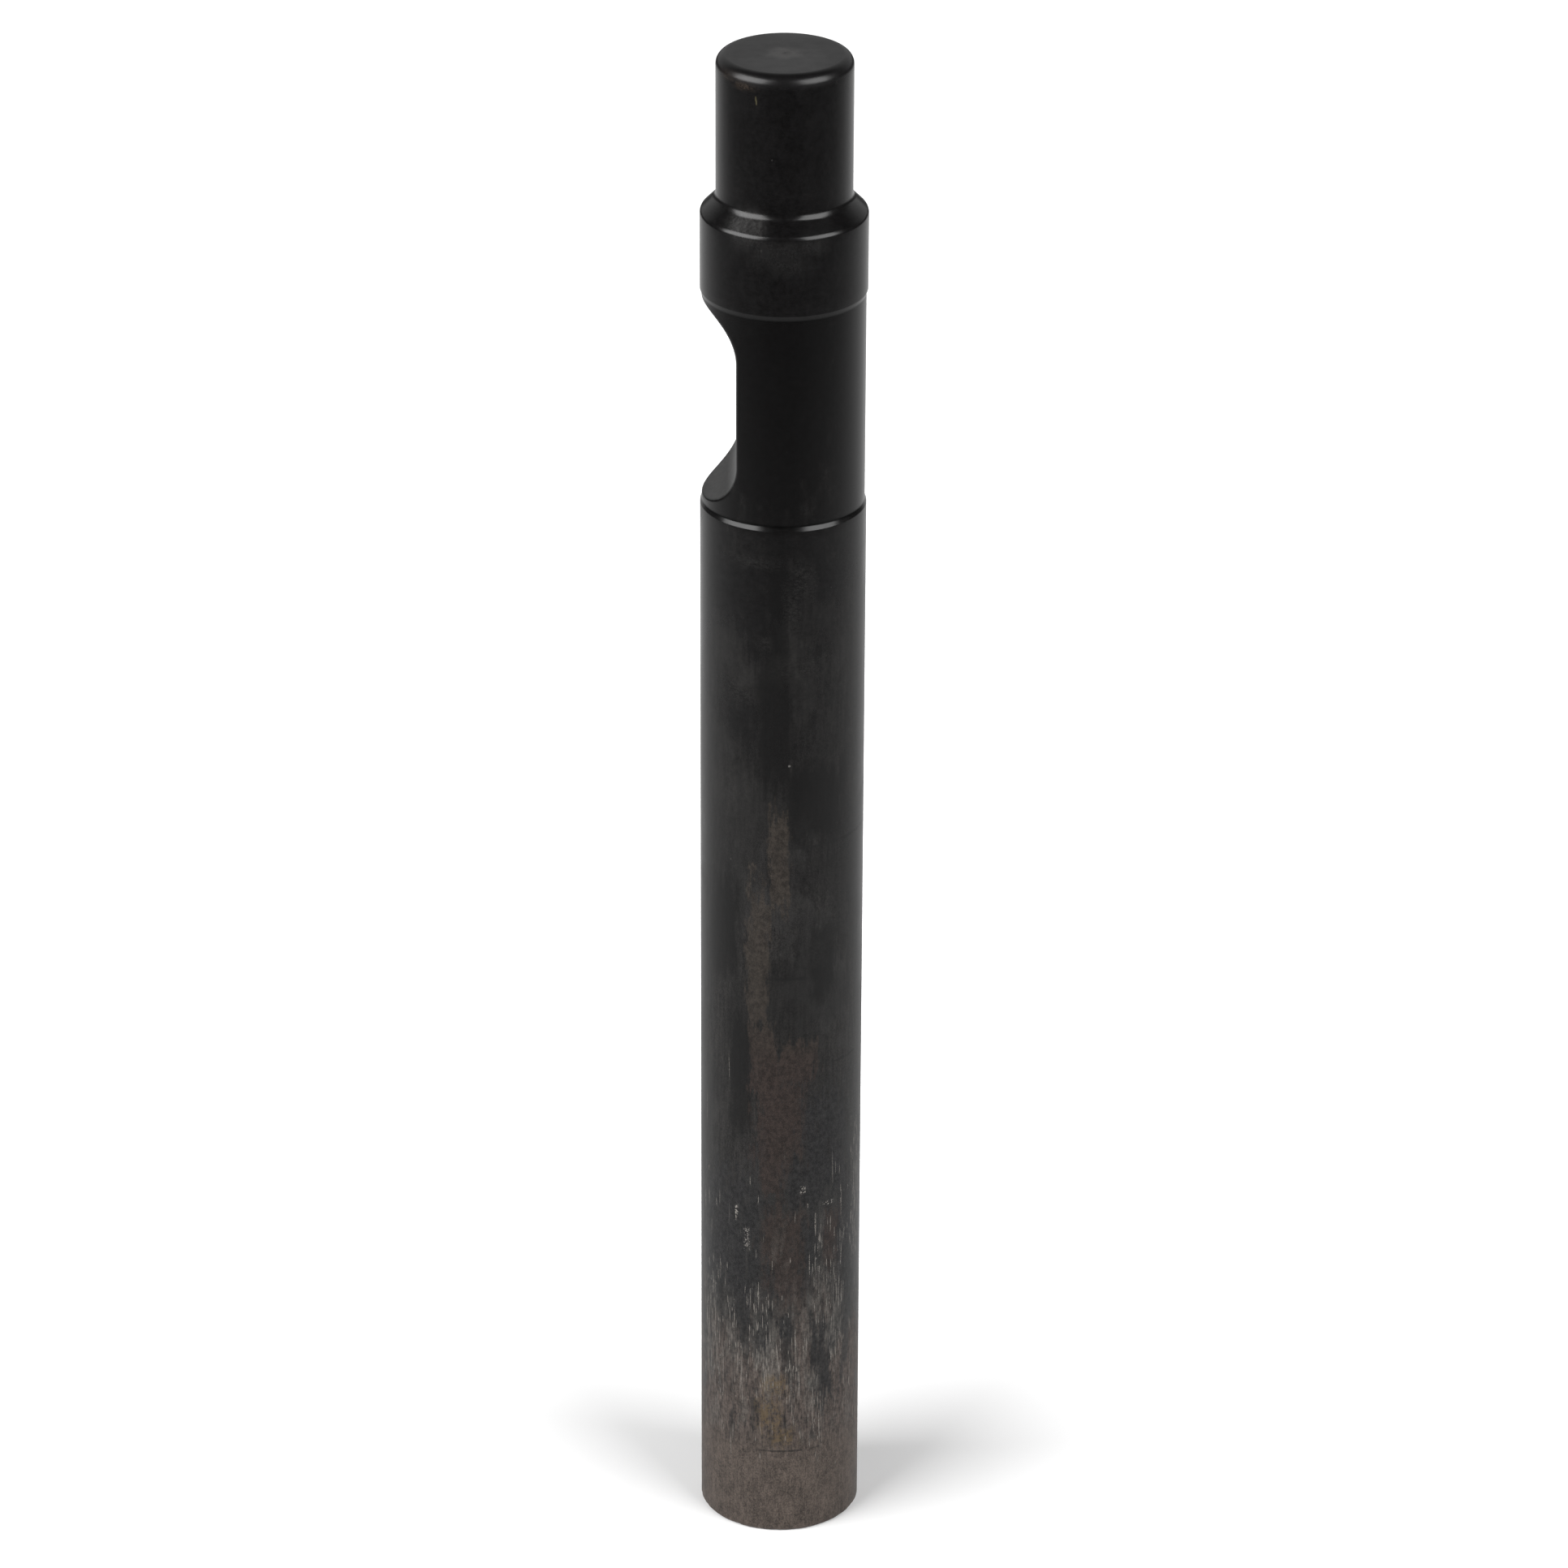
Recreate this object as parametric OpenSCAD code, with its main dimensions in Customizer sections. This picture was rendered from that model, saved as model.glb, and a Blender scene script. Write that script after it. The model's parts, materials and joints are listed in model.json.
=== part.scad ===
// Post-driving tool for a hydraulic breaker: one solid steel bar, turned all over and milled
// with one retainer notch. It stands on its driving face, +Z runs up the bar to the striking
// face, and the retainer notch faces -X. Millimetres.

/* [Bar] */
// Length from the driving face to the striking face
total_length = 783; // [700:1:1000]
// Diameter of the body and of the collar, which run in the breaker's bushes
body_d = 80; // [76:0.5:90]

/* [Striking head] */
// Diameter of the head that the piston strikes
head_d = 65; // [58:0.5:67]
// Length of the head, from the striking face to the start of its root fillet
head_length = 68; // [50:0.5:76]
// Radius that rounds the edge of the striking face
head_round = 5; // [2:0.5:8]

/* [Shoulder and collar] */
// Radius of the hollow fillet at the root of the head
root_fillet = 5; // [1:0.5:5]
// Slope of the shoulder's cone, in degrees below level
shoulder_slope = 45; // [35:1:55]
// Radius that rounds the shoulder's outer edge
shoulder_round = 3.5; // [1:0.5:5]
// Distance from the striking face to the collar's lower edge
collar_bottom_drop = 116.5; // [105:0.5:118]

/* [Relieved neck] */
// Diameter of the neck between the collar and the body
neck_d = 78.4; // [74:0.1:79]
// Height of the cone at each end of the neck
relief_run = 2.3; // [1:0.1:4]
// Distance from the striking face to the body's upper edge
body_top_drop = 226.5; // [226:0.5:240]

/* [Retainer notch] */
// Distance from the bar's axis to the notch's flat
notch_flat = 21.5; // [18:0.5:30]
// Radius of the curved run-out at each end of the notch
notch_round = 25; // [22:0.5:27]
// Length of the flat between the two run-outs
notch_flat_length = 52.4; // [30:0.1:54]
// Distance from the striking face to the middle of the notch
notch_drop = 171; // [169:0.5:173]

/* [Driving end] */
// Chamfer around the driving face
rim_chamfer = 1.2; // [0.5:0.1:5]

/* [Hidden] */
$fn = 128;

STEEL = "#232325";

body_r = body_d / 2;
head_r = head_d / 2;
neck_r = neck_d / 2;

// Heights above the driving face
head_root_z = total_length - head_length;
collar_bottom_z = total_length - collar_bottom_drop;
body_top_z = total_length - body_top_drop;
notch_z = total_length - notch_drop;

// The shoulder is a cone between two rounds: the hollow fillet at the head and the rounded
// outer edge. The cone cuts a hair into both rounds, because surfaces that are tangent to
// within rounding leave slivers. out_x and out_z are the cone's outward normal.
cut_in = 0.01;
out_x = sin(shoulder_slope);
out_z = cos(shoulder_slope);
fillet_x = head_r + root_fillet;
edge_x = body_r - shoulder_round;
shoulder_run = out_x * (fillet_x - edge_x) - root_fillet - shoulder_round + 2 * cut_in;
collar_top_z = head_root_z + shoulder_run / out_z;

// Half of the bar's lengthwise section, radius along X and height along Y
module bar_section() {
    difference() {
        union() {
            polygon([
                [0, 0],
                [body_r - rim_chamfer, 0],
                [body_r, rim_chamfer],
                [body_r, body_top_z],
                [neck_r, body_top_z + relief_run],
                [neck_r, collar_bottom_z - relief_run],
                [body_r, collar_bottom_z],
                [body_r, collar_top_z],
                [edge_x, collar_top_z] + (shoulder_round - cut_in) * [out_x, out_z],
                [fillet_x, head_root_z] - (root_fillet - cut_in) * [out_x, out_z],
                [head_r, head_root_z],
                [head_r, total_length - head_round],
                [head_r - head_round, total_length],
                [0, total_length],
            ]);
            // rounded outer edge of the shoulder
            translate([edge_x, collar_top_z]) circle(r = shoulder_round);
            // rounded edge of the striking face
            translate([head_r - head_round, total_length - head_round]) circle(r = head_round);
        }
        // hollow fillet at the root of the head
        translate([fillet_x, head_root_z]) circle(r = root_fillet);
    }
}

// What the milling cutter takes away: a slot straight across the bar, open to -X
module retainer_notch() {
    translate([-notch_flat - notch_round, 0, notch_z])
        rotate([90, 0, 0])
            linear_extrude(height = 2 * body_d, center = true) {
                square([2 * notch_round, notch_flat_length], center = true);
                for (side = [-1, 1])
                    translate([0, side * notch_flat_length / 2]) circle(r = notch_round);
            }
}

module driver_bar() {
    color(STEEL)
        difference() {
            rotate_extrude() bar_section();
            retainer_notch();
        }
}

driver_bar();
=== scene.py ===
"""The looks of a breaker's post-driving tool: one solid steel bar, turned all over, with one milled
retainer notch. The bar stands on its driving face at the origin, +Z runs up to the striking face,
and the notch faces -X. Everything is in metres. Angles round the bar are in degrees from -Y, the
side that the camera sees, and grow towards +X.
"""
import json
from math import acos, cos, pi, radians, sin, tan

import bpy
import numpy as np
from mathutils import Matrix, Vector, noise


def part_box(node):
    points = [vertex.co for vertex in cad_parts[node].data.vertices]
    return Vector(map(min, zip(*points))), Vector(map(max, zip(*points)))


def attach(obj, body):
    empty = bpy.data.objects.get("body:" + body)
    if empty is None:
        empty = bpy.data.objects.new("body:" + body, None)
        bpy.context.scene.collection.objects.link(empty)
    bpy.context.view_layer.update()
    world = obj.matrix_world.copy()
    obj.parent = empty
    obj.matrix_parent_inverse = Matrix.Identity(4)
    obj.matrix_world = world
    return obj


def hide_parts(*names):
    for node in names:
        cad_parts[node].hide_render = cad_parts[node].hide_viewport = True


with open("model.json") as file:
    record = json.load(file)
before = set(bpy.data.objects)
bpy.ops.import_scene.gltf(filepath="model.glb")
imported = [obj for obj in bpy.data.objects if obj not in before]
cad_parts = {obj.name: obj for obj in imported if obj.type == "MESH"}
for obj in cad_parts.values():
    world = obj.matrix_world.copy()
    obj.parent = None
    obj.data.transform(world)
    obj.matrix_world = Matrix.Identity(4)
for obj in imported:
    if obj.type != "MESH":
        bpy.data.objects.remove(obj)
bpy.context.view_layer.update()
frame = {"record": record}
mounts = {mount["name"]: mount for mount in frame["record"]["mounts"]}

# ---- Sizes that the frame gives
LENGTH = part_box("driver_bar")[1].z
BODY_R = mounts["body_bearing"]["dims"]["r_mm"] / 1000
HEAD_R = mounts["striking_head"]["dims"]["r_mm"] / 1000
NOTCH_FLAT = -mounts["retainer_flat"]["pos_m"][0]
NOTCH_Z = mounts["retainer_flat"]["pos_m"][2]

# ---- Sizes of the turned and milled shapes, as the CAD source has them
HEAD_ROUND = 0.0050
HEAD_ROOT_Z = LENGTH - 0.068
ROOT_FILLET = 0.0050
SHOULDER_SLOPE = radians(45)
SHOULDER_ROUND = 0.0035
COLLAR_BOTTOM_Z = LENGTH - 0.1165
NECK_R = 0.0392
RELIEF_RUN = 0.0023
BODY_TOP_Z = LENGTH - 0.2265
NOTCH_ROUND = 0.025
NOTCH_FLAT_LENGTH = 0.0524
RIM_CHAMFER = 0.0012

# ---- Small shapes that only the visual model has
CENTRE_MARK_R = 0.0012
CENTRE_MARK_DEPTH = 0.0003
BROKEN_EDGE = 0.0004
RELIEF_FILLET = 0.0030
NOTCH_EDGE_ROUND = 0.0012
RIM_WEAR_REACH = 0.006
RIM_WEAR_DEPTH = 0.0005
FACE_R = HEAD_R - HEAD_ROUND

# ---- How strongly the oil on the steel reflects
OIL_IOR = 1.33

# ---- How finely the mesh is divided
WORN_PITCH = 0.0007
PLAIN_PITCH = 0.004
SHORTEST_EDGE = 0.00004
HALVINGS = 40

# ---- The stage
STAGE_HALF = 60.0


# ---------------------------------------------------------------- the bar's shape

def rounded(corners, steps=8):
    """Points (radius, height) along the outline through corners (radius, height, rounding)."""
    points = [corners[0][:2]]
    for before, corner, after in zip(corners, corners[1:], corners[2:]):
        here = Vector(corner[:2])
        back = (Vector(before[:2]) - here).normalized()
        ahead = (Vector(after[:2]) - here).normalized()
        opening = acos(max(-1, min(1, back.dot(ahead))))
        if corner[2] == 0:
            points.append(tuple(here))
            continue
        reach = corner[2] / tan(opening / 2)
        centre = here + (back + ahead).normalized() * corner[2] / sin(opening / 2)
        start = here + back * reach - centre
        end = here + ahead * reach - centre
        turn = start.angle_signed(end)
        count = max(2, round(steps * abs(turn) / (pi / 4)))
        for step in range(count + 1):
            points.append(tuple(centre + Matrix.Rotation(-turn * step / count, 2) @ start))
    points.append(corners[-1][:2])
    return points


def bar_outline():
    """The turned section from the middle of the striking face to the middle of the driving face."""
    shoulder_top = HEAD_ROOT_Z - ROOT_FILLET * tan(SHOULDER_SLOPE / 2)
    shoulder_foot = shoulder_top - (BODY_R - HEAD_R) * tan(SHOULDER_SLOPE)
    return rounded([
        (0, LENGTH - CENTRE_MARK_DEPTH, 0),
        (CENTRE_MARK_R, LENGTH, BROKEN_EDGE),
        (HEAD_R, LENGTH, HEAD_ROUND),
        (HEAD_R, shoulder_top, ROOT_FILLET),
        (BODY_R, shoulder_foot, SHOULDER_ROUND),
        (BODY_R, COLLAR_BOTTOM_Z, BROKEN_EDGE),
        (NECK_R, COLLAR_BOTTOM_Z - RELIEF_RUN, RELIEF_FILLET),
        (NECK_R, BODY_TOP_Z + RELIEF_RUN, RELIEF_FILLET),
        (BODY_R, BODY_TOP_Z, BROKEN_EDGE),
        (BODY_R, RIM_CHAMFER, BROKEN_EDGE),
        (BODY_R - RIM_CHAMFER, 0, BROKEN_EDGE),
        (0, 0, 0),
    ])


def notch_heights():
    """Heights of the rings that shape the notch: close together where its ends break out."""
    run_out = acos(1 - (NECK_R - NOTCH_FLAT) / NOTCH_ROUND)
    tip = NOTCH_FLAT_LENGTH / 2 + NOTCH_ROUND * sin(run_out)
    offsets = list(np.linspace(0, NOTCH_FLAT_LENGTH / 2, 16))
    offsets += [NOTCH_FLAT_LENGTH / 2 + NOTCH_ROUND * sin(a) for a in np.linspace(0, run_out, 40)]
    offsets += list(tip + NOTCH_EDGE_ROUND * np.linspace(-1.2, 1.2, 17))
    return sorted({round(NOTCH_Z + side * offset, 6) for side in (-1, 1) for offset in offsets})


def rings(outline, longest):
    """Splits the outline's long stretches, and adds the notch's rings where it passes them."""
    extra = notch_heights()
    made = [outline[0]]
    for (r0, z0), (r1, z1) in zip(outline, outline[1:]):
        parts = max(1, round(max(abs(r1 - r0), abs(z1 - z0)) / longest(z0, z1)))
        shares = {step / parts for step in range(1, parts + 1)}
        if z0 - z1 > longest(z0, z1):
            shares |= {(z0 - z) / (z0 - z1) for z in extra if z1 < z < z0}
        for share in sorted(shares):
            point = (r0 + (r1 - r0) * share, z0 + (z1 - z0) * share)
            if abs(point[0] - made[-1][0]) + abs(point[1] - made[-1][1]) > SHORTEST_EDGE:
                made.append(point)
    return made


def ring_pitch(z0, z1):
    """Longest gap between rings: fine where the rim is worn, coarse along the body."""
    return WORN_PITCH if max(z0, z1) < RIM_WEAR_REACH else PLAIN_PITCH


def notch_depth_at(z):
    """Distance from the bar's axis to the notch's surface at height z, on the -X side."""
    beyond = np.maximum(abs(z - NOTCH_Z) - NOTCH_FLAT_LENGTH / 2, 0)
    beyond = np.minimum(beyond, NOTCH_ROUND)
    return NOTCH_FLAT + NOTCH_ROUND - np.sqrt(NOTCH_ROUND ** 2 - beyond ** 2)


def column_angles(z):
    """Angles of one ring's points from -X, with a band of points that follows the notch's edges."""
    narrowest = radians(25)
    band = radians(1.8)
    inside, edge, outside = 66, 12, 186
    share = min(1.0, float(notch_depth_at(z)) / NECK_R)
    follow = max(acos(share), narrowest)
    across = np.linspace(-(follow - band), follow - band, inside, endpoint=False)
    first = np.linspace(follow - band, follow + band, edge, endpoint=False)
    around = np.linspace(follow + band, 2 * pi - follow - band, outside, endpoint=False)
    last = np.linspace(2 * pi - follow - band, 2 * pi - follow + band, edge, endpoint=False)
    return np.concatenate([across, first, around, last])


def cut_radius(radius, angle, z):
    """How far the bar reaches from its axis in each direction, with the notch's edge rounded."""
    low = np.zeros_like(radius)
    high = radius.copy()
    beyond = np.maximum(abs(z - NOTCH_Z) - NOTCH_FLAT_LENGTH / 2, 0)
    for _ in range(HALVINGS):
        middle = (low + high) / 2
        from_slot = np.hypot(NOTCH_FLAT + NOTCH_ROUND - middle * np.cos(angle), beyond)
        past_bar = middle - radius + NOTCH_EDGE_ROUND
        past_cut = NOTCH_ROUND - from_slot + NOTCH_EDGE_ROUND
        rounding = np.hypot(np.maximum(past_bar, 0), np.maximum(past_cut, 0))
        outside = np.minimum(np.maximum(past_bar, past_cut), 0) + rounding > NOTCH_EDGE_ROUND
        high = np.where(outside, middle, high)
        low = np.where(outside, low, middle)
    return (low + high) / 2


def rim_wear(point):
    """How far the driving end's edge is worn in at a point: small uneven dents, none further up."""
    near = max(0.0, 1 - point.z / RIM_WEAR_REACH)
    dents = noise.noise(point * 190) + 0.6 * noise.noise(point * 470)
    return RIM_WEAR_DEPTH * near ** 2 * max(0.0, dents + 0.15)


def make_bar():
    """One closed mesh of the whole bar, ring by ring from the striking face to the driving face."""
    section = rings(bar_outline(), ring_pitch)
    top, *turned, bottom = section
    points = [Vector((0, 0, top[1]))]
    for radius, z in turned:
        angles = column_angles(z)
        reach = cut_radius(np.full_like(angles, radius), angles, np.full_like(angles, z))
        for angle, r in zip(angles, reach):
            point = Vector((-r * cos(angle), -r * sin(angle), z))
            worn = (r - rim_wear(point)) / r
            points.append(Vector((point.x * worn, point.y * worn, z)))
    points.append(Vector((0, 0, bottom[1])))
    count = len(angles)
    last = len(points) - 1
    faces = [(0, 1 + i, 1 + (i + 1) % count) for i in range(count)]
    for ring in range(len(turned) - 1):
        start = 1 + ring * count
        for i in range(count):
            j = (i + 1) % count
            faces.append((start + i, start + count + i, start + count + j, start + j))
    start = 1 + (len(turned) - 1) * count
    faces += [(start + i, last, start + (i + 1) % count) for i in range(count)]
    mesh = bpy.data.meshes.new("driver_bar_skin")
    mesh.from_pydata(points, [], faces)
    mesh.shade_smooth()
    mesh.validate()
    bar = bpy.data.objects.new("steel_bar", mesh)
    bpy.context.scene.collection.objects.link(bar)
    return bar


# ---------------------------------------------------------------- materials

class Shader:
    """Builds the nodes of a material or a world. A value may be a number, a colour or an output."""

    def __init__(self, owner):
        self.owner = owner
        owner.use_nodes = True
        self.tree = owner.node_tree
        self.tree.nodes.clear()
        self.place = self.node("ShaderNodeTexCoord").outputs["Object"]

    def node(self, kind, inputs=None, **settings):
        made = self.tree.nodes.new(kind)
        for setting, value in settings.items():
            setattr(made, setting, value)
        for socket, value in (inputs or {}).items():
            if isinstance(value, bpy.types.NodeSocket):
                self.tree.links.new(value, made.inputs[socket])
            else:
                made.inputs[socket].default_value = value
        return made

    def maths(self, operation, a, b=0.0):
        return self.node("ShaderNodeMath", {0: a, 1: b}, operation=operation).outputs[0]

    def both(self, *masks):
        """The masks multiplied together."""
        product = masks[0]
        for mask in masks[1:]:
            product = self.maths("MULTIPLY", product, mask)
        return product

    def any_of(self, masks):
        """The largest of the masks at each point."""
        largest = masks[0]
        for mask in masks[1:]:
            largest = self.maths("MAXIMUM", largest, mask)
        return largest

    def vector(self, operation, a, b=(0, 0, 0)):
        return self.node("ShaderNodeVectorMath", {0: a, 1: b}, operation=operation).outputs[0]

    def length(self, value):
        return self.node("ShaderNodeVectorMath", {0: value}, operation="LENGTH").outputs["Value"]

    def split(self, value):
        """The three parts of a vector or a colour."""
        return self.node("ShaderNodeSeparateXYZ", {0: value}).outputs

    def between(self, value, zero_at, one_at):
        """0 where value is at zero_at or beyond, 1 at one_at, and smooth between them."""
        made = self.node(
            "ShaderNodeMapRange",
            {"Value": value, "From Min": zero_at, "From Max": one_at},
            interpolation_type="SMOOTHSTEP",
        )
        return made.outputs["Result"]

    def mix(self, mask, below, above):
        """A colour or a number, from below where the mask is 0 to above where it is 1."""
        ends = (below, above)
        colours = any(isinstance(end, tuple) or getattr(end, "type", "") == "RGBA" for end in ends)
        made = self.node("ShaderNodeMix", data_type="RGBA" if colours else "FLOAT")
        a, b, out = (6, 7, 2) if colours else (2, 3, 0)
        for socket, value in ((0, mask), (a, below), (b, above)):
            if isinstance(value, bpy.types.NodeSocket):
                self.tree.links.new(value, made.inputs[socket])
            else:
                made.inputs[socket].default_value = value
        return made.outputs[out]

    def noise(self, around, along, detail=3.0, roughness=0.55, shift=0.0):
        """Noise from about 0.2 to 0.8 with that many features in a metre, around and along the bar."""
        stretched = self.vector("MULTIPLY", self.place, (around, around, along))
        moved = self.vector("ADD", stretched, (shift, shift * 1.7, shift * 0.6))
        inputs = {"Vector": moved, "Scale": 1.0, "Detail": detail, "Roughness": roughness}
        return self.node("ShaderNodeTexNoise", inputs).outputs["Fac"]

    def patch(self, angle, z, half_width, half_height, soft=0.3, ragged=1.0, radius=BODY_R):
        """1 inside an uneven upright block on the surface, at an angle round the bar and a height."""
        turn = radians(angle)
        centre = (radius * sin(turn), -radius * cos(turn), z)
        offset = self.vector("SUBTRACT", self.place, centre)
        scaled = self.vector("MULTIPLY", offset, (1 / half_width, 1 / half_width, 1 / half_height))
        distance = self.maths("SQRT", self.length(self.vector("MULTIPLY", scaled, scaled)))
        pushed = self.maths("ADD", distance, self.both(self.ragged, ragged))
        return self.between(pushed, 1 + soft / 2, 1 - soft / 2)

    def patches(self, places, **how):
        return self.any_of([self.patch(*place, **how) for place in places])

    def strokes(self, cell_width, cell_height, half_width, share, lean, shift):
        """Thin upright strokes, one at most in each cell of the surface, in that share of cells.

        Sizes are in metres. lean is how far a stroke tilts, and shift moves the cells round the bar.
        """
        across_cells = self.maths("DIVIDE", self.maths("ADD", self.arc, shift), cell_width)
        along_cells = self.maths("DIVIDE", self.height, cell_height)
        place = self.node("ShaderNodeCombineXYZ", {0: across_cells, 1: along_cells}).outputs[0]
        inputs = {"Vector": place, "Scale": 1.0}
        cells = self.node("ShaderNodeTexVoronoi", inputs, voronoi_dimensions="2D")
        offset = self.split(self.vector("SUBTRACT", place, cells.outputs["Position"]))
        chance = self.split(cells.outputs["Color"])
        tilt = self.both(self.maths("SUBTRACT", chance[0], 0.5), lean * cell_height)
        aside = self.both(offset[0], cell_width)
        across = self.maths("ABSOLUTE", self.maths("ADD", aside, self.both(offset[1], tilt)))
        along = self.maths("DIVIDE", self.maths("ABSOLUTE", offset[1]), self.mix(chance[1], 0.12, 0.50))
        taper = self.maths("SUBTRACT", 1.0, self.both(along, along))
        thickness = self.both(taper, self.mix(chance[0], 0.5 * half_width, half_width))
        drawn = self.between(self.maths("SUBTRACT", across, thickness), 0.00010, -0.00010)
        strength = self.mix(chance[1], 1.0, 0.55)
        chosen = self.between(self.maths("SUBTRACT", share, chance[2]), 0.0, 0.02)
        return self.both(drawn, strength, chosen)

    def flecks(self, per_metre, share, size):
        """Small uneven dots, one at most in each cell, in that share of cells."""
        inputs = {"Vector": self.vector("MULTIPLY", self.place, (per_metre,) * 3), "Scale": 1.0}
        cells = self.node("ShaderNodeTexVoronoi", inputs)
        chance = self.split(cells.outputs["Color"])
        reach = self.mix(chance[1], 0.3 * size, size)
        uneven = self.both(self.maths("SUBTRACT", self.grain, 0.5), 0.5 * size)
        distance = self.maths("ADD", cells.outputs["Distance"], uneven)
        dot = self.between(self.maths("SUBTRACT", distance, reach), 0.3 * size, -0.3 * size)
        return self.both(dot, self.between(self.maths("SUBTRACT", share, chance[0]), 0.0, 0.01))

    def coat(self, mask, colour, roughness):
        """Lays a finish over what is there, where the mask is 1."""
        self.colour = self.mix(mask, self.colour, colour)
        self.roughness = self.mix(mask, self.roughness, roughness)

    def finish(self, surface):
        """Connects the last shader, and gives back the material or the world."""
        world = isinstance(self.owner, bpy.types.World)
        out = self.node("ShaderNodeOutputWorld" if world else "ShaderNodeOutputMaterial")
        self.tree.links.new(surface.outputs[0], out.inputs["Surface"])
        return self.owner


# Each mark on the bar: angle, height of its middle, half width and half height

# Places where the dried film is brown
BROWN_COLUMNS = [
    (0, 0.380, 0.0048, 0.028),
    (-15, 0.328, 0.0056, 0.039),
    (-10, 0.272, 0.0070, 0.020),
    (14, 0.270, 0.0100, 0.012),
    (2, 0.232, 0.0130, 0.032),
    (-6, 0.206, 0.0050, 0.012),
    (0, 0.163, 0.0095, 0.027),
    (16, 0.160, 0.0040, 0.034),
    (43, 0.168, 0.0060, 0.016),
    (138, 0.270, 0.0130, 0.075),
    (160, 0.180, 0.0090, 0.034),
    (229, 0.330, 0.0070, 0.062),
    (246, 0.215, 0.0110, 0.040),
]

# Places on the upper body where the oil still lies dark
OIL_RUNS = [
    (-1, 0.5150, 0.0050, 0.034),
    (-4, 0.4600, 0.0080, 0.040),
    (-45, 0.3400, 0.0090, 0.028),
    (33, 0.3250, 0.0065, 0.022),
    (-28, 0.2600, 0.0055, 0.034),
    (26, 0.4120, 0.0150, 0.020),
    (115, 0.4200, 0.0090, 0.060),
    (200, 0.3400, 0.0100, 0.070),
]

# Places near the driving face where the oil still lies dark
OIL_PATCHES = [
    (-40, 0.170, 0.0180, 0.036),
    (-28, 0.137, 0.0062, 0.020),
    (20, 0.201, 0.0090, 0.015),
    (36, 0.222, 0.0110, 0.030),
    (26, 0.170, 0.0050, 0.016),
    (58, 0.160, 0.0070, 0.026),
    (5, 0.120, 0.0050, 0.0060),
    (31, 0.108, 0.0040, 0.018),
    (35, 0.090, 0.0042, 0.020),
    (-10, 0.116, 0.0030, 0.012),
    (120, 0.190, 0.0150, 0.040),
    (170, 0.130, 0.0100, 0.026),
    (215, 0.175, 0.0170, 0.034),
    (252, 0.120, 0.0080, 0.024),
]

# Bundles of pale upright scratches
SCRATCH_BUNDLES = [
    (31, 0.170, 0.0022, 0.013),
    (30, 0.147, 0.0024, 0.008),
    (46, 0.132, 0.0050, 0.032),
    (30, 0.126, 0.0022, 0.009),
    (70, 0.182, 0.0050, 0.036),
    (-14, 0.127, 0.0045, 0.013),
    (0, 0.113, 0.0016, 0.0032),
    (-36, 0.118, 0.0030, 0.016),
    (-28, 0.093, 0.0036, 0.014),
    (-8, 0.098, 0.0070, 0.018),
    (30, 0.066, 0.0030, 0.022),
    (12, 0.095, 0.0040, 0.024),
    (-56, 0.105, 0.0060, 0.032),
    (108, 0.150, 0.0060, 0.030),
    (152, 0.105, 0.0080, 0.026),
    (184, 0.165, 0.0030, 0.032),
    (208, 0.112, 0.0060, 0.026),
    (240, 0.158, 0.0030, 0.028),
    (268, 0.098, 0.0070, 0.028),
]

# Dry smudges on the upper body, where the oil has been wiped off
SMUDGES = [
    (-20, 0.5400, 0.0100, 0.0030),
    (15, 0.5310, 0.0050, 0.0100),
    (8, 0.5140, 0.0035, 0.0150),
    (-9, 0.4977, 0.0026, 0.0030),
    (11, 0.4846, 0.0110, 0.0060),
    (-30, 0.4720, 0.0070, 0.0070),
    (-42, 0.4180, 0.0080, 0.0085),
    (28, 0.3300, 0.0034, 0.0060),
    (40, 0.3550, 0.0050, 0.0120),
    (96, 0.4700, 0.0090, 0.0200),
    (175, 0.5200, 0.0120, 0.0120),
    (222, 0.4300, 0.0080, 0.0200),
]

# Narrow dark lines round part of the bar
DARK_LINES = [
    (36, 0.3886, 0.0190, 0.0007),
    (7, 0.3172, 0.0105, 0.0009),
    (55, 0.2668, 0.0090, 0.0006),
    (8, 0.0476, 0.0170, 0.0005),
    (-22, 0.5405, 0.0120, 0.0006),
]


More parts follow.
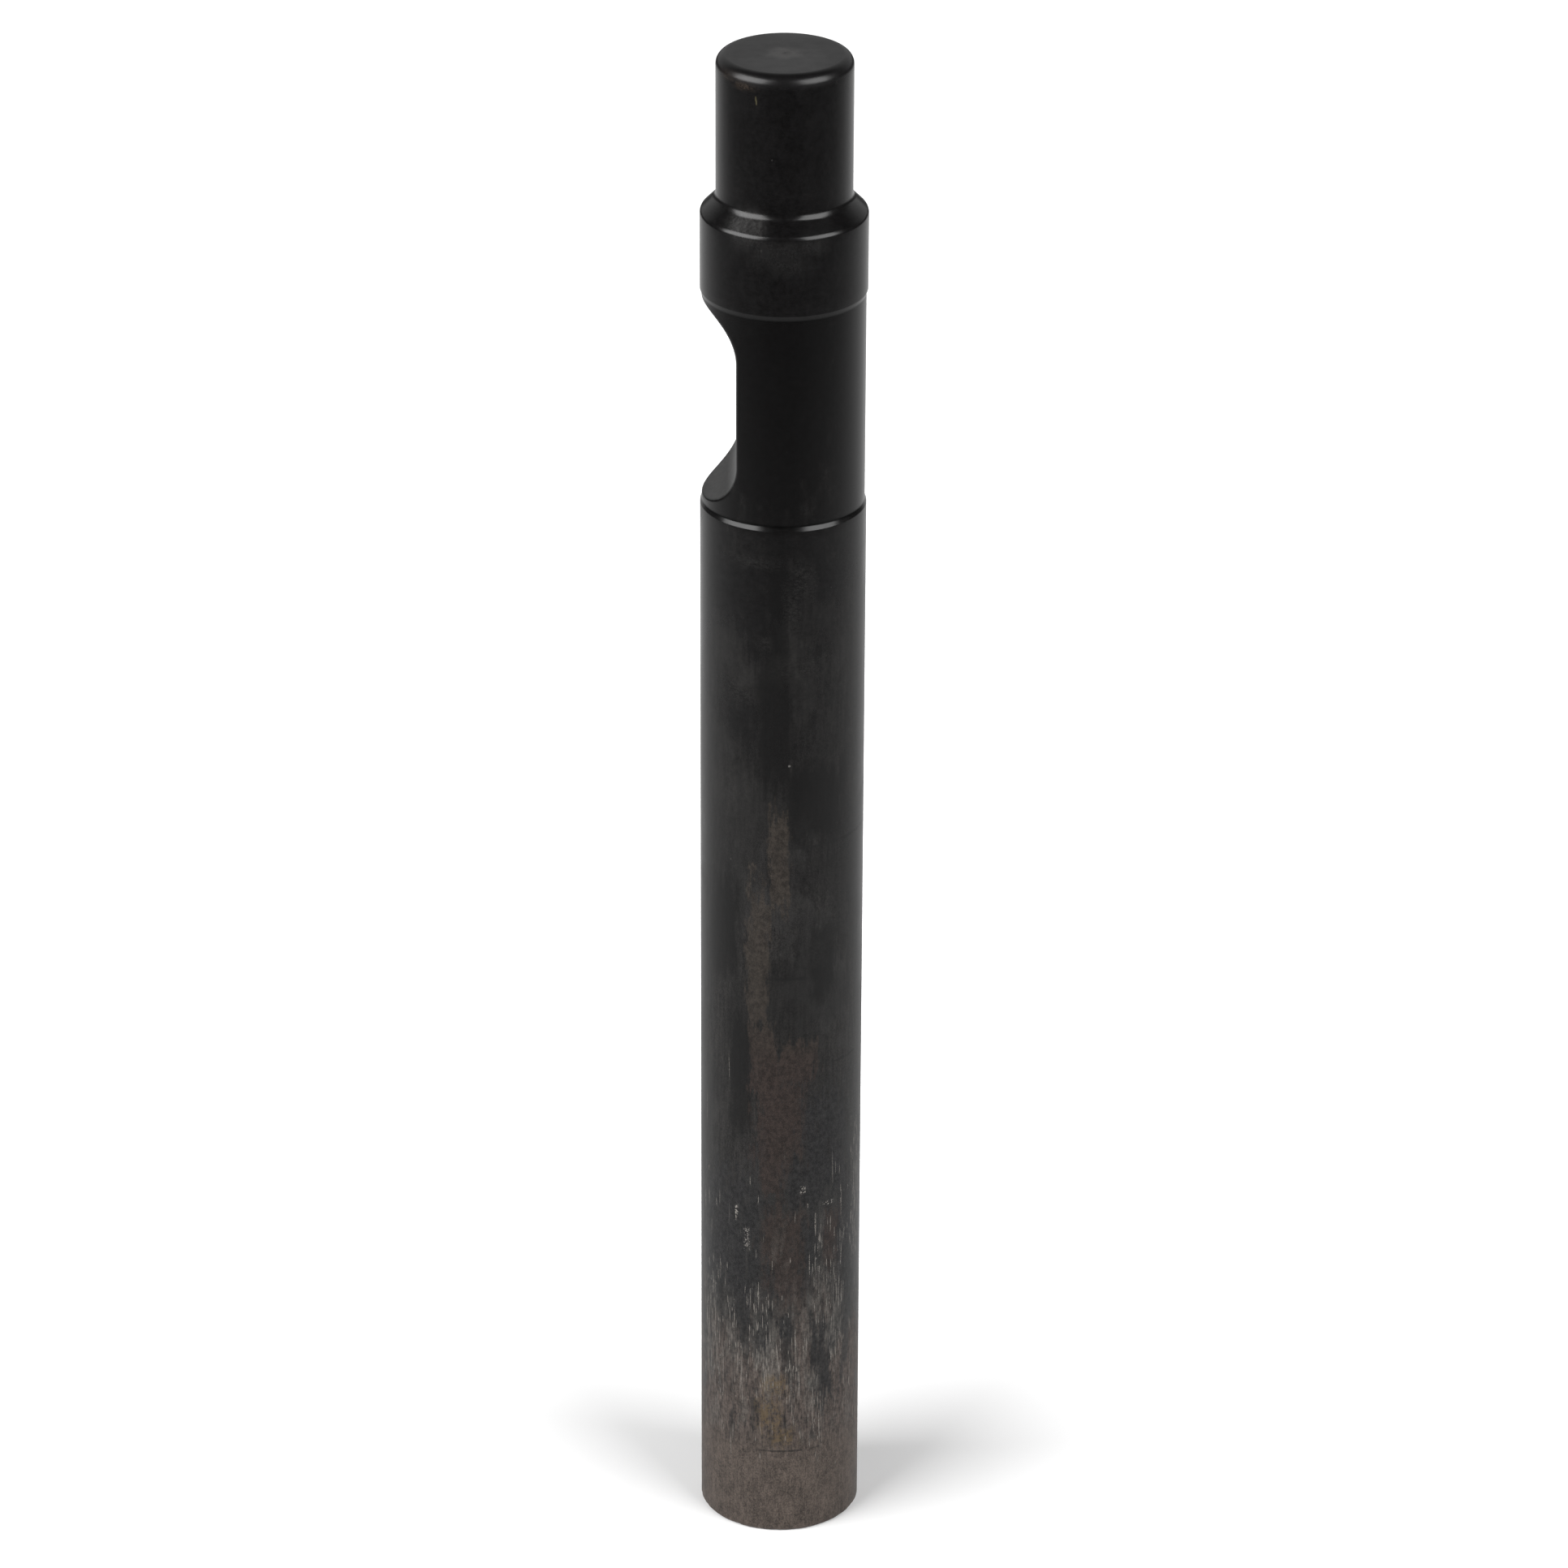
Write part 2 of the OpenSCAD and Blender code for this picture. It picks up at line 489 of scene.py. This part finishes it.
def oiled_body(s):
    """Black oiled steel, with a dried film that starts below the neck and thickens downwards."""
    s.colour = s.mix(s.spread, (0.0011, 0.0010, 0.0010, 1), (0.0029, 0.0027, 0.0028, 1))
    s.roughness = s.mix(s.mottle, 0.18, 0.27)
    level = s.between(s.noise(70, 520, detail=4, roughness=0.7, shift=41), 0.38, 0.66)
    s.coat(s.both(level, s.between(s.cloud, 0.36, 0.60), 0.12), (0.0062, 0.0059, 0.0060, 1), 0.27)
    s.coat(s.both(s.between(s.mottle, 0.46, 0.74), 0.08), (0.0080, 0.0074, 0.0073, 1), 0.28)
    above_body = s.between(s.height, BODY_TOP_Z - 0.0045, BODY_TOP_Z + 0.0055)
    below_collar = s.between(s.height, COLLAR_BOTTOM_Z + 0.0015, COLLAR_BOTTOM_Z - 0.0025)
    s.coat(s.both(above_body, below_collar, 0.65), (0.0009, 0.0008, 0.0008, 1), 0.23)

    pushed = s.both(s.maths("SUBTRACT", s.cloud, 0.5), 0.60)
    film_height = s.maths("ADD", s.height, s.maths("ADD", pushed, s.both(s.streaks, 0.10)))
    first = s.both(s.between(film_height, 0.60, 0.50), 0.42)
    second = s.both(s.between(film_height, 0.46, 0.34), 0.55)
    s.film = s.maths("ADD", first, second)
    hairline = s.between(s.noise(700, 60, detail=3, roughness=0.6, shift=47), 0.38, 0.62)
    crisp = s.between(s.grain, 0.41, 0.59)
    film_texture = s.mix(0.32, s.mix(0.6, s.spread, crisp), hairline)
    film_colour = s.mix(film_texture, (0.0001, 0.0001, 0.0001, 1), (0.0142, 0.0129, 0.0121, 1))
    s.coat(s.film, film_colour, 0.40)

    # The film has been wiped thin in some broad patches and lies thicker in others
    wiped = s.between(s.noise(17, 11, detail=7, roughness=0.56, shift=53), 0.52, 0.555)
    s.coat(s.both(wiped, s.film, 0.42), (0.0135, 0.0130, 0.0127, 1), 0.47)
    thick = s.between(s.noise(15, 10, detail=6, roughness=0.50, shift=59), 0.54, 0.60)
    s.coat(s.both(thick, s.film, 0.50), (0.0022, 0.0021, 0.0021, 1), 0.32)
    s.coat(s.both(s.patches(OIL_RUNS, soft=0.6, ragged=0.6), 0.74), (0.0014, 0.0013, 0.0013, 1), 0.27)


def brown_film(s):
    """The film is brown in some upright columns: tan higher up and redder below."""
    tan_brown = s.mix(s.spread, (0.0085, 0.0064, 0.0048, 1), (0.0230, 0.0182, 0.0142, 1))
    red_brown = s.mix(s.spread, (0.0066, 0.0040, 0.0031, 1), (0.0205, 0.0132, 0.0106, 1))
    brown = s.mix(s.between(s.height, 0.31, 0.26), tan_brown, red_brown)
    s.coat(s.both(s.patches(BROWN_COLUMNS, soft=0.35, ragged=0.8), 0.8), brown, 0.41)


def worn_body(s):
    """The skin is rubbed grey and brown towards the driving face, where the bar works."""
    blotched = s.both(s.maths("SUBTRACT", s.cloud, 0.5), 0.090)
    streaked = s.both(s.maths("SUBTRACT", s.streaks, 0.5), 0.110)
    height = s.maths("ADD", s.height, s.maths("ADD", blotched, streaked))
    s.rubbed = s.between(height, 0.158, 0.074)
    upright = s.between(s.noise(900, 150, detail=3, roughness=0.75, shift=11), 0.32, 0.68)
    even = s.between(s.maths("ADD", s.height, s.both(s.mottle, 0.022)), 0.072, 0.050)
    clouded = s.mix(0.40, s.spread, s.between(s.mottle, 0.34, 0.66))
    band_texture = s.mix(0.22, s.mix(0.42, clouded, s.fine), upright)
    s.texture = s.mix(even, s.mix(0.5, s.spread, upright), band_texture)
    grey = s.mix(s.texture, (0.0030, 0.0027, 0.0026, 1), (0.0600, 0.0555, 0.0505, 1))
    rust_brown = s.mix(s.texture, (0.0050, 0.0034, 0.0027, 1), (0.0640, 0.0500, 0.0430, 1))
    low = s.both(s.between(s.height, 0.125, 0.060), 0.22)
    browned = s.between(s.maths("ADD", s.noise(60, 34, detail=4, shift=19), low), 0.42, 0.60)
    s.coat(s.rubbed, s.mix(browned, grey, rust_brown), 0.54)

    # Where it is rubbed, upright patches are worn through to paler steel and others keep their oil
    working = s.both(s.between(height, 0.240, 0.165), s.between(even, 0.8, 0.2))
    uneven = s.noise(105, 27, detail=6, roughness=0.68, shift=67)
    pale = s.mix(s.texture, (0.0150, 0.0136, 0.0122, 1), (0.0860, 0.0785, 0.0700, 1))
    most = s.mix(s.between(height, 0.19, 0.11), 0.08, 0.40)
    s.coat(s.both(s.between(uneven, 0.52, 0.60), working, most), pale, 0.50)
    dark = s.mix(s.spread, (0.0026, 0.0026, 0.0028, 1), (0.0130, 0.0125, 0.0122, 1))
    s.coat(s.both(s.between(uneven, 0.47, 0.40), working, 0.70), dark, 0.38)

    # The lowest few centimetres are an even rust brown
    band_colour = s.mix(s.texture, (0.0030, 0.0021, 0.0016, 1), (0.0800, 0.0620, 0.0510, 1))
    band = s.both(even, s.mix(s.between(s.cloud, 0.36, 0.62), 0.70, 0.92))
    s.coat(band, band_colour, 0.56)

    oil = s.mix(s.spread, (0.0022, 0.0022, 0.0026, 1), (0.0120, 0.0116, 0.0118, 1))
    kept = s.between(s.noise(420, 45, detail=3, shift=43), 0.29, 0.45)
    s.coat(s.both(s.patches(OIL_PATCHES, soft=0.5), kept, 0.92), oil, 0.36)


def smudges_and_lines(s):
    """Dry smudges on the upper body, painted shade in the creases at the feet of the neck's cones, and
    a few dark lines.
    """
    crumbs = s.between(s.noise(520, 900, detail=4, roughness=0.7, shift=61), 0.34, 0.74)
    smudges = s.both(s.patches(SMUDGES, soft=1.8, ragged=0.35), crumbs, 0.34)
    s.coat(smudges, (0.0170, 0.0160, 0.0148, 1), 0.46)
    # Painted shade: a dark line in the concave crease at the foot of each of the neck's cones.
    for foot in (COLLAR_BOTTOM_Z - RELIEF_RUN, BODY_TOP_Z + RELIEF_RUN):
        beside = s.maths("ABSOLUTE", s.maths("SUBTRACT", s.height, foot))
        crease_shade = s.both(s.between(beside, 0.0013, 0.0003), s.between(s.mottle, 0.30, 0.50), 0.75)
        s.coat(crease_shade, (0.0004, 0.0004, 0.0004, 1), 0.22)
    lines = s.both(s.patches(DARK_LINES, soft=1.0), s.between(s.mottle, 0.34, 0.50), 0.68)
    s.coat(lines, (0.0020, 0.0019, 0.0019, 1), 0.45)


def scratches(s):
    """Pale scratches run down the lower body, in bundles and singly, with small chips between."""
    bundles = s.patches(SCRATCH_BUNDLES, soft=0.9)
    working = s.both(s.between(s.height, 0.230, 0.175), s.between(s.height, 0.022, 0.062))
    share = s.maths("ADD", s.both(bundles, 0.90), s.both(working, 0.07))
    ground = s.mix(s.texture, (0.0200, 0.0186, 0.0168, 1), (0.0980, 0.0900, 0.0810, 1))
    under = s.between(s.noise(760, 70, detail=3, shift=71), 0.44, 0.58)
    s.coat(s.both(bundles, under, 0.26), ground, 0.48)
    short = s.strokes(0.0017, 0.0105, 0.00024, share, 0.14, 0.0)
    share = s.maths("ADD", s.both(bundles, 0.70), s.both(working, 0.03))
    longer = s.strokes(0.0026, 0.0240, 0.00030, share, 0.06, 0.3)
    share = s.both(s.between(s.height, 0.30, 0.20), s.between(s.height, 0.035, 0.060), 0.13)
    single = s.strokes(0.0080, 0.0300, 0.00022, share, 0.16, 0.6)
    broken = s.between(s.grain, 0.36, 0.50)
    s.scratched = s.both(s.any_of([short, longer, single]), broken)
    s.coat(s.both(s.scratched, 0.80), (0.1350, 0.1230, 0.1090, 1), 0.42)

    chipped = s.patches([
        (-23, 0.1690, 0.0014, 0.0050),
        (18, 0.1985, 0.0013, 0.0016),
        (-31, 0.1850, 0.0007, 0.0030),
        (39, 0.1880, 0.0022, 0.0009),
        (158, 0.1500, 0.0016, 0.0050),
        (236, 0.1400, 0.0014, 0.0030),
    ], soft=1.0)
    chips = s.both(chipped, s.flecks(1150, 0.80, 0.62))
    s.coat(s.both(chips, 0.8), (0.1700, 0.1570, 0.1420, 1), 0.5)


def ochre_stains(s):
    """Ochre rust low on the front and the back."""
    ochre = s.patches([
        (-6, 0.0700, 0.0055, 0.0090),
        (2, 0.0560, 0.0065, 0.0050),
        (-2, 0.0860, 0.0050, 0.0050),
        (192, 0.0850, 0.0080, 0.0120),
    ], soft=1.3)
    s.coat(s.both(ochre, s.between(s.spread, 0.15, 0.75), 0.62), (0.0540, 0.0350, 0.0130, 1), 0.58)


def shoulder_marks(s):
    """Dust at the top of the collar, and a dry scuff on the shoulder's cone whose pale colour is partly
    a painted sheen.
    """
    dusty = s.patches([
        (-26, 0.7025, 0.0060, 0.0050),
        (-10, 0.6990, 0.0080, 0.0080),
        (4, 0.6970, 0.0090, 0.0090),
        (20, 0.7020, 0.0070, 0.0050),
    ], soft=1.3, ragged=0.45)
    dust_colour = s.mix(s.fine, (0.0040, 0.0038, 0.0037, 1), (0.0115, 0.0111, 0.0108, 1))
    below_shoulder = s.between(s.height, 0.7050, 0.7030)
    s.coat(s.both(dusty, below_shoulder, 0.42), dust_colour, 0.34)

    cone_middle_r = 0.0370
    # A dry scuff on the cone; its pale colour is partly real wear and partly a painted sheen where the
    # left softbox shines.
    scuff_and_sheen = s.patches([
        (-30, 0.7095, 0.0062, 0.0050),
        (-20, 0.7100, 0.0040, 0.0040),
    ], soft=1.8, ragged=0.15, radius=cone_middle_r)
    upright = s.between(s.noise(620, 260, detail=4, roughness=0.7, shift=31), 0.20, 0.80)
    s.coat(s.both(scuff_and_sheen, s.mix(upright, 0.05, 0.48)), (0.0400, 0.0387, 0.0375, 1), 0.40)


def head_marks(s):
    """Rust, a curl of ochre grease and nicks near the top of the head, and its rounded edge dulled."""
    rust = s.patches([
        (-46, 0.7790, 0.0080, 0.0020),
        (-34, 0.7765, 0.0045, 0.0020),
    ], soft=1.6, ragged=0.5, radius=HEAD_R)
    s.coat(s.both(rust, s.fine, 0.42), (0.0400, 0.0270, 0.0185, 1), 0.34)
    curl = s.patches([
        (-22.6, 0.7709, 0.00030, 0.0011),
        (-22.0, 0.7693, 0.00030, 0.0011),
    ], soft=1.4, ragged=0.2, radius=HEAD_R)
    s.coat(s.both(curl, 0.6), (0.0420, 0.0360, 0.0140, 1), 0.45)
    on_edge = s.between(s.height, LENGTH - 1.5 * HEAD_ROUND, LENGTH - 0.9 * HEAD_ROUND)
    s.coat(s.both(on_edge, s.mix(s.mottle, 0.2, 0.9)), (0.0034, 0.0031, 0.0033, 1), 0.36)
    nicks = s.strokes(0.0050, 0.0045, 0.00014, 0.55, 0.9, 1.2)
    nicked = s.patches([
        (38, 0.7735, 0.0040, 0.0040),
        (54, 0.7745, 0.0030, 0.0030),
    ], soft=1.0, radius=HEAD_R)
    s.coat(s.both(nicks, nicked, 0.35), (0.0500, 0.0480, 0.0460, 1), 0.40)


def machined_faces(s):
    """The milled notch and the striking face are plain machined steel, dry and grey."""
    radius = s.length(s.vector("MULTIPLY", s.place, (1, 1, 0)))
    above_end = s.between(s.height, NOTCH_Z - 0.0535, NOTCH_Z - 0.0520)
    below_end = s.between(s.height, NOTCH_Z + 0.0535, NOTCH_Z + 0.0520)
    inside_neck = s.between(radius, NECK_R - 0.0001, NECK_R - 0.0009)
    milled = s.mix(s.spread, (0.0125, 0.0124, 0.0122, 1), (0.0245, 0.0242, 0.0239, 1))
    s.coat(s.both(inside_neck, s.both(above_end, below_end)), milled, 0.40)

    on_top = s.between(s.height, LENGTH - 0.0006, LENGTH - 0.0001)
    face = s.both(on_top, s.between(radius, FACE_R + 0.0010, FACE_R - 0.0005))
    cloudy = s.between(s.cloud, 0.35, 0.65)
    struck = s.mix(cloudy, (0.0085, 0.0083, 0.0084, 1), (0.0190, 0.0187, 0.0188, 1))
    s.coat(face, struck, s.mix(s.mottle, 0.36, 0.48))
    swirl = s.maths("ADD", radius, s.both(s.maths("SUBTRACT", s.mottle, 0.5), 0.010))
    smudged = s.both(face, s.between(swirl, 0.0110, 0.0035), s.mix(s.fine, 0.35, 0.95))
    s.coat(smudged, (0.0440, 0.0425, 0.0415, 1), 0.5)
    s.coat(s.both(face, s.between(swirl, 0.0036, 0.0010), 0.6), (0.0100, 0.0095, 0.0092, 1), 0.4)


def specks(s):
    """Pale specks, few of them on the neck and the head, and dark ones all over."""
    strength = s.mix(s.between(s.height, 0.64, 0.54), 0.12, 0.55)
    s.coat(s.both(s.flecks(210, 0.018, 0.16), strength), (0.0900, 0.0860, 0.0800, 1), 0.6)
    s.coat(s.both(s.flecks(330, 0.007, 0.22), 0.6), (0.0015, 0.0014, 0.0013, 1), 0.5)


def steel_material():
    """Black oiled steel above, rubbed and rust-browned towards the driving face."""
    s = Shader(bpy.data.materials.new("oiled_steel"))
    x, y, s.height = s.split(s.place)
    s.arc = s.both(s.maths("ARCTAN2", x, s.maths("MULTIPLY", y, -1.0)), BODY_R)
    s.cloud = s.noise(26, 15, detail=5, roughness=0.65)
    s.mottle = s.noise(150, 110, detail=5, roughness=0.6, shift=3)
    s.speckle = s.noise(420, 330, detail=4, roughness=0.85, shift=23)
    s.spread = s.between(s.speckle, 0.33, 0.67)
    s.grain = s.noise(1500, 1100, detail=3, roughness=0.7, shift=5)
    s.fine = s.between(s.grain, 0.36, 0.64)
    s.streaks = s.noise(170, 9, detail=4, roughness=0.6, shift=7)
    turning = s.noise(14, 1900, detail=2, roughness=0.6, shift=13)
    edges = s.noise(330, 80, detail=5, roughness=0.7, shift=37)
    s.ragged = s.both(s.maths("SUBTRACT", edges, 0.5), 3.2)

    oiled_body(s)
    brown_film(s)
    worn_body(s)
    smudges_and_lines(s)
    scratches(s)
    ochre_stains(s)
    shoulder_marks(s)
    head_marks(s)
    machined_faces(s)
    specks(s)

    # Relief, in metres: turning marks everywhere, pitting and scratches where the bar is dry
    dry = s.maths("MAXIMUM", s.rubbed, s.both(s.film, 0.5))
    relief = s.both(turning, 0.0000016)
    relief = s.maths("ADD", relief, s.both(s.mottle, 0.000010))
    relief = s.maths("ADD", relief, s.both(s.texture, s.rubbed, 0.000020))
    relief = s.maths("ADD", relief, s.both(s.grain, dry, 0.000018))
    relief = s.maths("SUBTRACT", relief, s.both(s.scratched, 0.000020))
    bump = s.node("ShaderNodeBump", {"Height": relief, "Strength": 1.0, "Distance": 1.0})
    return s.finish(s.node("ShaderNodeBsdfPrincipled", {
        "Base Color": s.colour,
        "Roughness": s.roughness,
        "IOR": OIL_IOR,
        "Normal": bump.outputs[0],
    }))


# ---------------------------------------------------------------- studio

def level_square(name, half, centre, material):
    """A level square that lies round the centre."""
    x, y, z = centre
    corners = [(x + a * half, y + b * half, z) for a, b in ((-1, -1), (1, -1), (1, 1), (-1, 1))]
    mesh = bpy.data.meshes.new(name)
    mesh.from_pydata(corners, [], [(0, 1, 2, 3)])
    mesh.materials.append(material)
    made = bpy.data.objects.new(name, mesh)
    bpy.context.scene.collection.objects.link(made)
    return made


def distance_over_floor(s, centre):
    """Distance from an upright line through the centre to each point of a level surface."""
    return s.length(s.vector("MULTIPLY", s.vector("SUBTRACT", s.place, centre), (1, 1, 0)))


def make_floor():
    """A pale floor that glows with painted light away from the bar, so that it shows plain white there.
    """
    s = Shader(bpy.data.materials.new("pale_floor"))
    # Painted light: the floor's own glow, none at the bar's foot and full from 0.42 m out.
    painted_glow = s.both(s.between(distance_over_floor(s, (0, 0, 0)), 0.01, 0.42), 0.65)
    matt = s.node("ShaderNodeBsdfPrincipled", {
        "Base Color": (0.70, 0.70, 0.70, 1),
        "Roughness": 1.0,
        "Specular IOR Level": 0.0,
        "Emission Color": (1, 1, 1, 1),
        "Emission Strength": painted_glow,
    })
    level_square("floor", STAGE_HALF, (0, 0, 0), s.finish(matt))


def make_reflected_floor():
    """What the bar's gloss meets in place of the floor: a dimmer pool of light that ends in front."""
    s = Shader(bpy.data.materials.new("reflected_floor"))
    pool = s.between(distance_over_floor(s, (0, 1.0, 0)), 2.7, 1.4)
    shine = s.node("ShaderNodeEmission", {
        "Color": (1, 1, 1, 1),
        "Strength": s.mix(pool, 0.06, 0.72),
    })
    made = level_square("reflected_floor", STAGE_HALF, (0, 0, 0.002), s.finish(shine))
    made.visible_camera = False
    made.visible_diffuse = False
    made.visible_shadow = False
    made.visible_transmission = False


def make_softbox(name, angle, reach, bottom, width, height, radiance):
    """A large rectangular light at an angle round the bar, reach away from it and facing it."""
    data = bpy.data.lights.new(name, "AREA")
    data.shape = "RECTANGLE"
    data.size = width
    data.size_y = height
    data.energy = radiance * pi * width * height
    made = bpy.data.objects.new(name, data)
    turn = radians(angle)
    made.location = (reach * sin(turn), -reach * cos(turn), bottom + height / 2)
    tipped_down = 0.25
    outward = Vector((sin(turn), -cos(turn), tipped_down))
    made.rotation_mode = "QUATERNION"
    made.rotation_quaternion = outward.to_track_quat("Z", "Y")
    made.visible_camera = False
    bpy.context.scene.collection.objects.link(made)


def make_world():
    """A dim room with a lit backdrop behind the bar. The camera sees plain white beyond the floor."""
    s = Shader(bpy.data.worlds.new("studio"))
    backward = s.split(s.node("ShaderNodeTexCoord").outputs["Generated"])[1]
    strength = s.mix(s.between(backward, 0.35, 0.75), 0.06, 0.50)
    seen = s.node("ShaderNodeLightPath").outputs["Is Camera Ray"]
    inputs = {"Color": (1, 1, 1, 1), "Strength": s.mix(seen, strength, 1.0)}
    bpy.context.scene.world = s.finish(s.node("ShaderNodeBackground", inputs))


def make_camera():
    """A long lens, three metres off and looking down at the bar, a little to the notch's far side."""
    distance, height = 3.0224, 1.8613
    azimuth, pitch, pan, roll = radians(1.9), radians(25.734), radians(0.018), radians(0.236)
    data = bpy.data.cameras.new("camera")
    data.sensor_width = 36.0
    data.lens = 157.06
    data.clip_start = 0.05
    data.clip_end = 200.0
    camera = bpy.data.objects.new("camera", data)
    place = Matrix.Translation((distance * sin(azimuth), -distance * cos(azimuth), height))
    turned = Matrix.Rotation(azimuth - pan, 4, "Z") @ Matrix.Rotation(pi / 2 - pitch, 4, "X")
    camera.matrix_world = place @ turned @ Matrix.Rotation(roll, 4, "Z")
    bpy.context.scene.collection.objects.link(camera)
    bpy.context.scene.camera = camera


make_camera()
make_floor()
make_reflected_floor()
make_world()
make_softbox("softbox_left", -58, 3.0, 0.6, 3.2, 2.8, 9.6)
make_softbox("softbox_right", 54, 3.0, 0.6, 2.7, 2.8, 8.0)
bpy.context.scene.view_settings.view_transform = "Standard"

bar = make_bar()
bar.data.materials.append(steel_material())
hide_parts("driver_bar")
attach(bar, "root")
